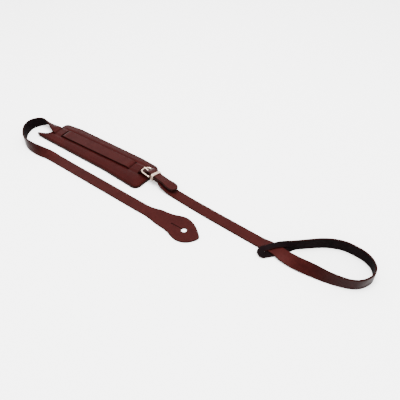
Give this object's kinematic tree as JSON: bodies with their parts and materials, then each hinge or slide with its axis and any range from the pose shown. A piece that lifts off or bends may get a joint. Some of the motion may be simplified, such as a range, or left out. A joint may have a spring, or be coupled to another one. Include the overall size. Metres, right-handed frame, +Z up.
{
  "type": "instrument shoulder strap",
  "caption": "Slim leather instrument strap woven through a slotted shoulder pad, with a tongue buckle and keeper, a leaf-shaped button-hole end and a slit-tab noose end.",
  "frame": {"origin": "bottom centre of the bounding box of the strap as it lies laid out on a floor", "axes": "+Z up from the floor, +X along the straps from the bend to the noose, +Y from the leaf's run towards the pad"},
  "size_m": [0.5448, 0.1103, 0.017],
  "materials": {
    "strap_leather": "smooth oxblood grain with dark dyed edges, black flesh side",
    "pad_leather": "smooth oxblood grain",
    "lining_leather": "matt black suede",
    "filler_felt": "grey felt",
    "thread": "waxed thread, dyed to match the leather",
    "nickel": "pale warm nickel plate, softly worn"
  },
  "bodies": {
    "straps": {"button_strap": "strap_leather", "noose_strap": "strap_leather", "fold_stitches": "thread"},
    "frame": {"buckle_frame": "nickel"},
    "prong": {"buckle_prong": "nickel"},
    "keeper": {"keeper": "nickel"},
    "pad": {"pad_cover": "pad_leather", "pad_filler": "filler_felt", "pad_lining": "lining_leather", "pad_stitches": "thread"}
  },
  "joints": [
    {"name": "frame_tilt", "type": "hinge", "parent": "straps", "child": "frame", "pos_m": [-0.03855, 0.01255, 0.0094], "axis": [0.0509, 0.9693, -0.2406], "range_deg": [0, 4]},
    {"name": "prong_swing", "type": "hinge", "parent": "frame", "child": "prong", "pos_m": [-0.03855, 0.01255, 0.0094], "axis": [0.0509, 0.9693, -0.2406], "range_deg": [0, 6]},
    {"name": "keeper_slide", "type": "slide", "parent": "straps", "child": "keeper", "axis": [0.9915, -0.078, -0.1045], "range_m": [0, 0.008]},
    {"name": "pad_slide", "type": "slide", "parent": "straps", "child": "pad", "axis": [-1, 0, 0], "range_m": [0, 0.006], "deforming": ["button_strap"]}
  ]
}
